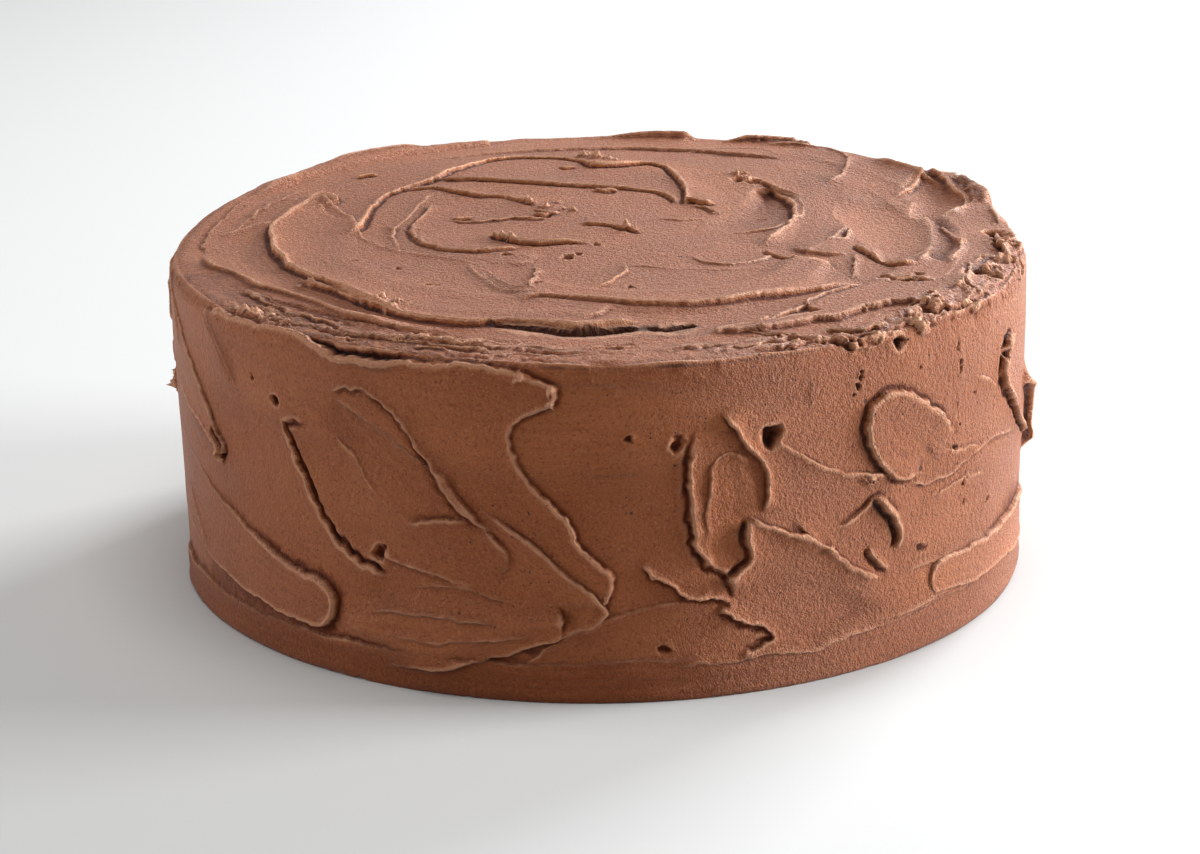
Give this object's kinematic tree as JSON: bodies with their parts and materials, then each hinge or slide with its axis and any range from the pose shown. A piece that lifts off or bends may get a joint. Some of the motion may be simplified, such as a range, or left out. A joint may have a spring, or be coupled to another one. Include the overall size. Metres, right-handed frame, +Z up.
{
  "type": "chocolate cake",
  "caption": "Whole round chocolate layer cake, frosted all over with knife-spread chocolate buttercream, with a swirled top.",
  "frame": {"origin": "centre of the round underside, on the surface that the cake rests on", "axes": "+Z up; -Y towards the side seen at the front of the picture; +X to its right"},
  "size_m": [0.2114, 0.2117, 0.0858],
  "materials": {
    "frosting": "satin chocolate buttercream, spread with a palette knife"
  },
  "bodies": {
    "root": {"frosted_cake": "frosting"}
  },
  "joints": []
}
